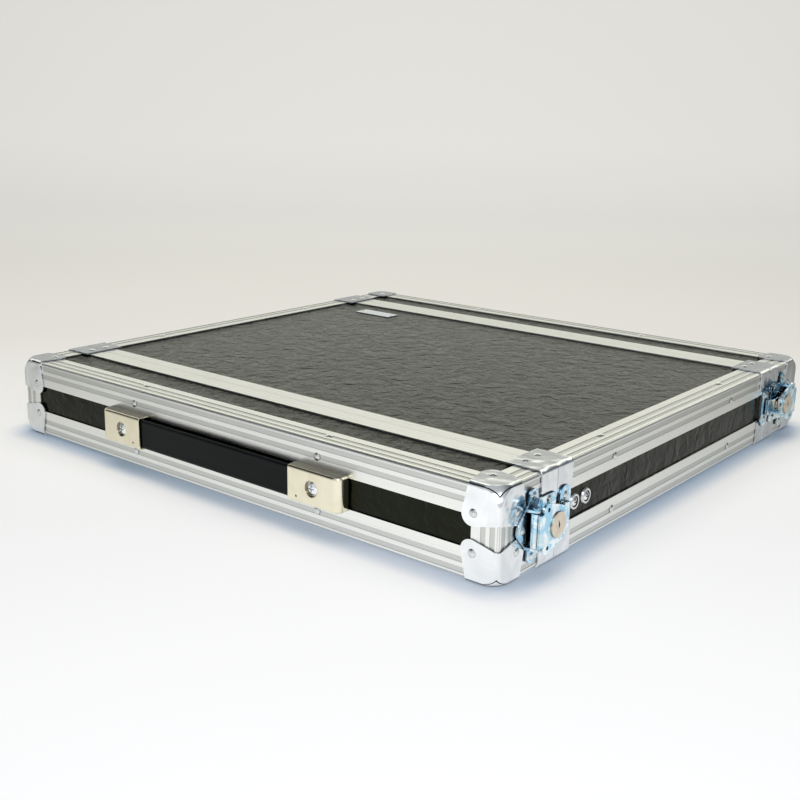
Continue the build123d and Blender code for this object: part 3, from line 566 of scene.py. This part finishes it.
def zincPlate():
    look = {
        "blue": (0.38, 0.66, 0.86),
        "pale": (0.88, 0.95, 0.98),
        "clouds": 130.0,
        "cloudSpan": (0.44, 0.60),
        "cloud": (0.0008, 0.6),
        "straw": (0.86, 0.86, 0.78),
        "drift": 45.0,
        "strawSpan": (0.60, 0.74, 0.0, 0.6),
        "shade": (0.02, 0.06, 0.11),
        "reach": 0.004,
        "clearSpan": (0.45, 0.95),
        "scratches": 1600.0,
        "scratch": (0.00002, 0.4),
        "edge": 0.0005,
        "roughness": (0.10, 0.20),
    }
    material, tree, shader = newMaterial("zincPlate", {"Metallic": 1.0})
    place = objectPlace(tree)
    clouds = noiseValue(tree, place, look["clouds"], distortion=0.8)
    drift = noiseValue(tree, place, look["drift"], detail=2.0)
    scratches = noiseValue(tree, place, look["scratches"], detail=2.0)
    tone = toned(tree, clouds, look["cloudSpan"], look["blue"], look["pale"])
    tone = mixColor(tree, remap(tree, drift, *look["strawSpan"]), tone, rgba(look["straw"]))
    rough = remap(tree, clouds, *noiseSpan, *look["roughness"])
    soft = bumped(tree, clouds, look["cloud"], softEdges(tree, look["edge"]))
    normal = bumped(tree, scratches, look["scratch"], soft)
    # painted navy shade in crevices and under edges
    feed(tree, shader, Base_Color=shaded(tree, tone, look), Roughness=rough, Normal=normal)
    return material


def polishedNickel():
    look = {
        "base": (0.81, 0.76, 0.60),
        "deep": (0.75, 0.69, 0.53),
        "clouds": 60.0,
        "cloudSpan": (0.35, 0.65),
        "cloud": (0.0003, 0.35),
        "shade": (0.16, 0.14, 0.10),
        "reach": 0.003,
        "clearSpan": (0.35, 0.9),
        "smears": 500.0,
        "smearStretch": (1, 1, 0.2),
        "smearRoughness": (0.45, 0.8, 0.0, 0.05),
        "edge": 0.0012,
        "roughness": (0.07, 0.12),
    }
    material, tree, shader = newMaterial("polishedNickel", {"Metallic": 1.0})
    clouds = noiseValue(tree, objectPlace(tree), look["clouds"])
    smears = noiseValue(tree, stretched(tree, look["smearStretch"]), look["smears"])
    # painted shade in corners and under edges
    tone = shaded(tree, toned(tree, clouds, look["cloudSpan"], look["base"], look["deep"]), look)
    rough = math(tree, "ADD", remap(tree, clouds, *noiseSpan, *look["roughness"]),
                 remap(tree, smears, *look["smearRoughness"]))
    normal = bumped(tree, clouds, look["cloud"], softEdges(tree, look["edge"]))
    feed(tree, shader, Base_Color=tone, Roughness=rough, Normal=normal)
    return material


def washedBrass():
    look = {
        "base": (0.76, 0.68, 0.57),
        "deep": (0.66, 0.57, 0.46),
        "clouds": 150.0,
        "cloudSpan": (0.35, 0.65),
        "turned": 1400.0,
        "turning": (0.00003, 0.4),
        "roughness": (0.24, 0.36),
    }
    material, tree, shader = newMaterial("washedBrass", {"Metallic": 1.0})
    place = objectPlace(tree)
    clouds = noiseValue(tree, place, look["clouds"])
    turned = noiseValue(tree, place, look["turned"])
    tone = toned(tree, clouds, look["cloudSpan"], look["base"], look["deep"])
    rough = remap(tree, turned, *noiseSpan, *look["roughness"])
    feed(tree, shader, Base_Color=tone, Roughness=rough, Normal=bumped(tree, turned, look["turning"]))
    return material


def strapCover():
    look = {
        "base": (0.0022, 0.0036, 0.0042),
        "worn": (0.0050, 0.0070, 0.0078),
        "clouds": 40.0,
        "wornSpan": (0.4, 0.7),
        "grains": 1500.0,
        "grain": (0.00005, 0.35),
        "roughness": (0.30, 0.42),
    }
    material, tree, shader = newMaterial("strapCover", {"IOR": 1.5, "Specular IOR Level": 0.11})
    place = objectPlace(tree)
    grains = noiseValue(tree, place, look["grains"], detail=2.0)
    clouds = noiseValue(tree, place, look["clouds"])
    tone = toned(tree, clouds, look["wornSpan"], look["base"], look["worn"])
    rough = remap(tree, clouds, *noiseSpan, *look["roughness"])
    feed(tree, shader, Base_Color=tone, Roughness=rough, Normal=bumped(tree, grains, look["grain"]))
    return material


def blackPaint():
    look = {
        "base": (0.012, 0.012, 0.012),
        "light": (0.026, 0.026, 0.026),
        "clouds": 30.0,
        "grains": 1800.0,
        "grain": (0.00008, 0.5),
        "roughness": (0.38, 0.55),
    }
    material, tree, shader = newMaterial("blackPaint", {"IOR": 1.5, "Specular IOR Level": 0.4})
    place = objectPlace(tree)
    grains = noiseValue(tree, place, look["grains"], detail=2.0)
    tone = mixColor(tree, noiseValue(tree, place, look["clouds"]), rgba(look["base"]), rgba(look["light"]))
    rough = remap(tree, grains, *noiseSpan, *look["roughness"])
    feed(tree, shader, Base_Color=tone, Roughness=rough, Normal=bumped(tree, grains, look["grain"]))
    return material


def greyFoam():
    look = {
        "base": (0.030, 0.030, 0.032),
        "light": (0.065, 0.065, 0.068),
        "clouds": 25.0,
        "cells": 900.0,
        "cell": (0.0004, 0.6),
    }
    material, tree, shader = newMaterial("greyFoam", {"Roughness": 0.95, "Specular IOR Level": 0.1})
    place = objectPlace(tree)
    cells = addNode(tree, "TexVoronoi", {"Vector": place, "Scale": look["cells"]})
    clouds = noiseValue(tree, place, look["clouds"], detail=4.0)
    tone = mixColor(tree, clouds, rgba(look["base"]), rgba(look["light"]))
    feed(tree, shader, Base_Color=tone, Normal=bumped(tree, cells, look["cell"]))
    return material


finishes = {
    "laminate": blackLaminate(),
    "angles": aluminium("ribbedAluminiumAngles", "angles"),
    "rims": aluminium("ribbedAluminiumRims", "rims"),
    "plate": aluminium("brushedPlate", "plate"),
    "steel": brightSteel(),
    "rivet": rivetSteel(),
    "zinc": zincPlate(),
    "nickel": polishedNickel(),
    "brass": washedBrass(),
    "strap": strapCover(),
    "paint": blackPaint(),
    "foam": greyFoam(),
}
finishOfEnding = [
    ("_panels", "laminate"), ("_panel", "laminate"), ("edge_angles", "angles"), ("_rim", "rims"),
    ("name_plate", "plate"), ("braces", "steel"), ("corners", "steel"), ("rivets", "rivet"),
    ("rail_screws", "steel"), ("handle_screws", "steel"), ("cup_washers", "rivet"), ("handle_nuts", "zinc"),
    ("rack_rail_left", "paint"), ("rack_rail_right", "paint"), ("strikes", "zinc"), ("latch_bases", "zinc"),
    ("latch_pins", "zinc"), ("latch_lever", "zinc"), ("latch_claw", "zinc"), ("lock_cylinder", "brass"),
    ("key_plug", "brass"), ("handle_cap_left", "nickel"), ("handle_cap_right", "nickel"),
    ("strap_grip", "strap"), ("strap_ends", "strap"), ("foam", "foam"),
]
for name, node in nodes.items():
    finish = next(key for ending, key in finishOfEnding if name.endswith(ending))
    node.data.materials.clear()
    node.data.materials.append(finishes[finish])
print("finishes on")


def pieceFromMesh(name, mesh, finish):
    bmesh.ops.recalc_face_normals(mesh, faces=mesh.faces)
    data = bpy.data.meshes.new(name)
    mesh.to_mesh(data)
    mesh.free()
    for face in data.polygons:
        face.use_smooth = True
    data.materials.append(finishes[finish])
    piece = bpy.data.objects.new(name, data)
    bpy.context.collection.objects.link(piece)
    return piece


strap = {
    "slotName": "black_strap",
    "edgeRadius": 0.0019,
    "edgeSteps": 6,
    "steps": 60,            # rings from the middle to the cap
    "faceSteps": 12,
    "hollow": 0.00022,      # how far the face dips between its rolled edges
    "rim": 0.0030,          # width of each rolled edge
    "rimFlat": 0.6,         # share of that width where the dip hasn't begun
}


def strapSection(low, high):
    points = []
    middleY, middleZ = (low.y + high.y) / 2, (low.z + high.z) / 2
    halfY, halfZ = (high.y - low.y) / 2, (high.z - low.z) / 2
    radius = strap["edgeRadius"]
    corners = [(1, 1, 0), (-1, 1, 1), (-1, -1, 2), (1, -1, 3)]
    for signY, signZ, quarter in corners:
        for step in range(strap["edgeSteps"] + 1):
            angle = (quarter + step / strap["edgeSteps"]) * pi / 2
            points.append((signY * (halfY - radius) + radius * cos(angle),
                           signZ * (halfZ - radius) + radius * sin(angle)))
        if quarter in (1, 3):
            reach = halfZ - radius
            for step in range(1, strap["faceSteps"]):
                z = signZ * reach * (1 - 2 * step / strap["faceSteps"])
                share = (halfZ - abs(z)) / strap["rim"] - strap["rimFlat"]
                dip = strap["hollow"] * min(1.0, max(0.0, share))
                points.append((signY * (halfY - dip), z))
    return [(middleY + y, middleZ + z) for y, z in points]


def strapHalf(name, sign):
    low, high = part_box("handle_strap_grip")
    section = strapSection(low, high)
    mesh = bmesh.new()
    rings = []
    reach = high.x * sign
    for step in range(strap["steps"] + 1):
        x = reach * step / strap["steps"]
        rings.append([mesh.verts.new((x, y, z)) for y, z in section])
    for first, second in zip(rings, rings[1:]):
        for i in range(len(section)):
            j = (i + 1) % len(section)
            mesh.faces.new((first[i], first[j], second[j], second[i]))
    mesh.faces.new(rings[-1])
    half = pieceFromMesh(name, mesh, "strap")
    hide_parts("handle_strap_grip")
    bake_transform(half)


strapHalf("strapHalfRight", 1)
strapHalf("strapHalfLeft", -1)
print("strap made")

foam = {
    "slotName": "grey_foam",
    "cell": 0.006,
    "roll": 0.0016,         # how far the rim rounds off
    "swell": 0.0004,
    "swellsPerMetre": 40,
}


def foamSheet(name, node, body, inward):
    low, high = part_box(node)
    mesh = bmesh.new()
    stepsX = int((high.x - low.x) / foam["cell"])
    stepsZ = int((high.z - low.z) / foam["cell"] * 2)
    glued, front = (low.y, high.y) if inward > 0 else (high.y, low.y)
    grid = []
    for i in range(stepsX + 1):
        row = []
        for j in range(stepsZ + 1):
            x = low.x + (high.x - low.x) * i / stepsX
            z = low.z + (high.z - low.z) * j / stepsZ
            edge = min(x - low.x, high.x - x, z - low.z, high.z - z)
            drop = foam["roll"] * max(0.0, 1 - edge / foam["cell"]) ** 2
            wave = foam["swell"] * (noise.noise(Vector((x, z, inward)) * foam["swellsPerMetre"]) - 1)
            row.append(mesh.verts.new((x, front + inward * (wave - drop), z)))
        grid.append(row)
    for i in range(stepsX):
        for j in range(stepsZ):
            mesh.faces.new((grid[i][j], grid[i + 1][j], grid[i + 1][j + 1], grid[i][j + 1]))
    rim = [edge for edge in mesh.edges if edge.is_boundary]
    walls = bmesh.ops.extrude_edge_only(mesh, edges=rim)["geom"]
    foot = [item for item in walls if isinstance(item, bmesh.types.BMVert)]
    for vert in foot:
        vert.co.y = glued
    bmesh.ops.contextual_create(mesh, geom=[edge for edge in mesh.edges if edge.is_boundary])
    sheet = pieceFromMesh(name, mesh, "foam")
    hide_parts(node)
    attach(sheet, body)


foamSheet("frontFoam", "front_lid_foam", "front_lid", 1)
foamSheet("rearFoam", "rear_lid_foam", "rear_lid", -1)
print("foam made")
